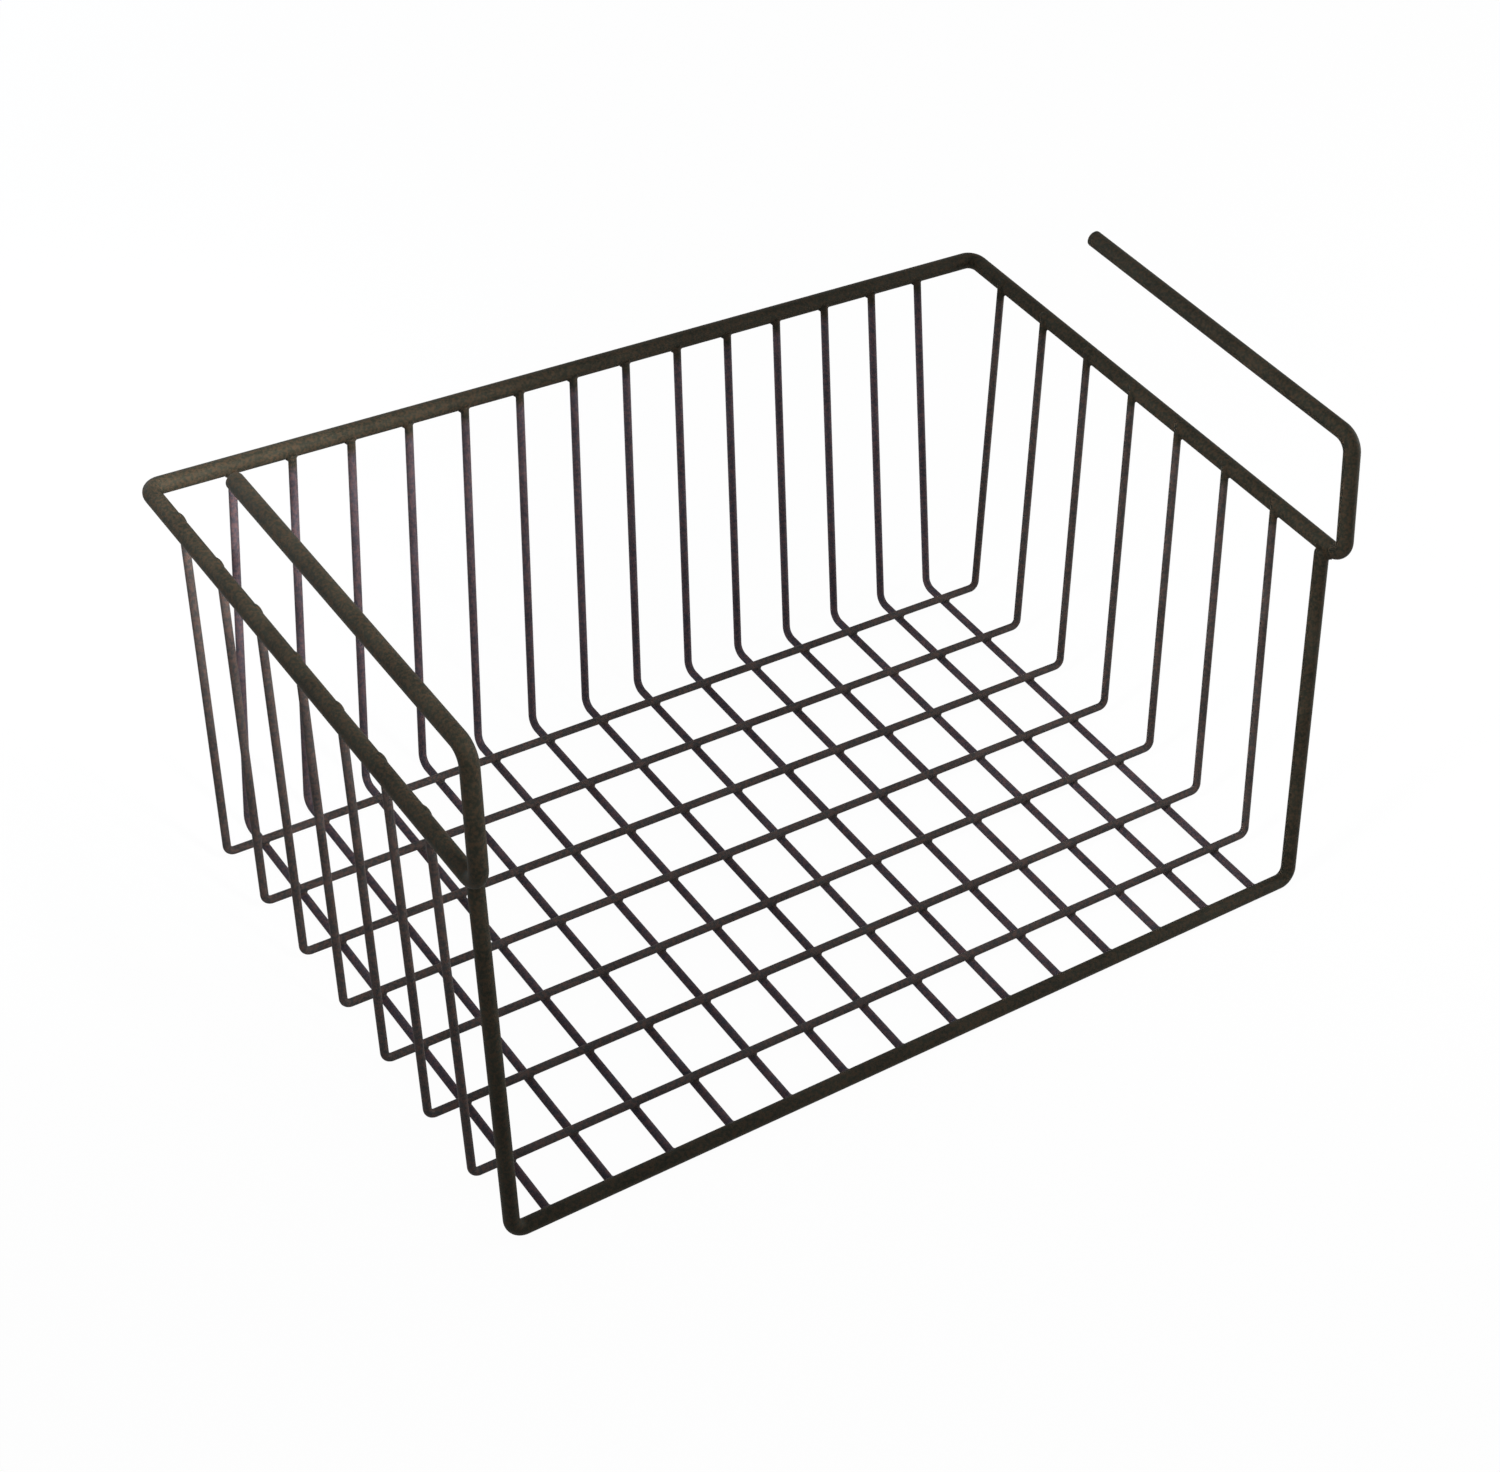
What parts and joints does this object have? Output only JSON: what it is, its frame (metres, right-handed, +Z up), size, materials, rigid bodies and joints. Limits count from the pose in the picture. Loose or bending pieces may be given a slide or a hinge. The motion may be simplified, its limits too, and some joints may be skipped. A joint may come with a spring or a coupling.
{
  "type": "under shelf basket",
  "caption": "Open-fronted wire basket that hangs below a shelf board, with a heavy rim rod that turns up into two arms lying on top of the board.",
  "frame": {"origin": "middle of the bounding box in X and Y, at the level of the surface that the basket's lowest wires stand on", "axes": "+Z up, +Y from the open front to the back wall, +X to the right as seen from the front"},
  "size_m": [0.3052, 0.2062, 0.1523],
  "materials": {
    "black_coating": "satin olive-black baked coating over steel wire"
  },
  "bodies": {
    "root": {"rim_and_hanger_wire": "black_coating", "front_hoop_wire": "black_coating", "cross_wire_1": "black_coating", "cross_wire_2": "black_coating", "cross_wire_3": "black_coating", "cross_wire_4": "black_coating", "cross_wire_5": "black_coating", "cross_wire_6": "black_coating", "cross_wire_7": "black_coating", "long_wire_01": "black_coating", "long_wire_02": "black_coating", "long_wire_03": "black_coating", "long_wire_04": "black_coating", "long_wire_05": "black_coating", "long_wire_06": "black_coating", "long_wire_07": "black_coating", "long_wire_08": "black_coating", "long_wire_09": "black_coating", "long_wire_10": "black_coating", "long_wire_11": "black_coating", "long_wire_12": "black_coating", "long_wire_13": "black_coating", "long_wire_14": "black_coating"}
  },
  "joints": []
}
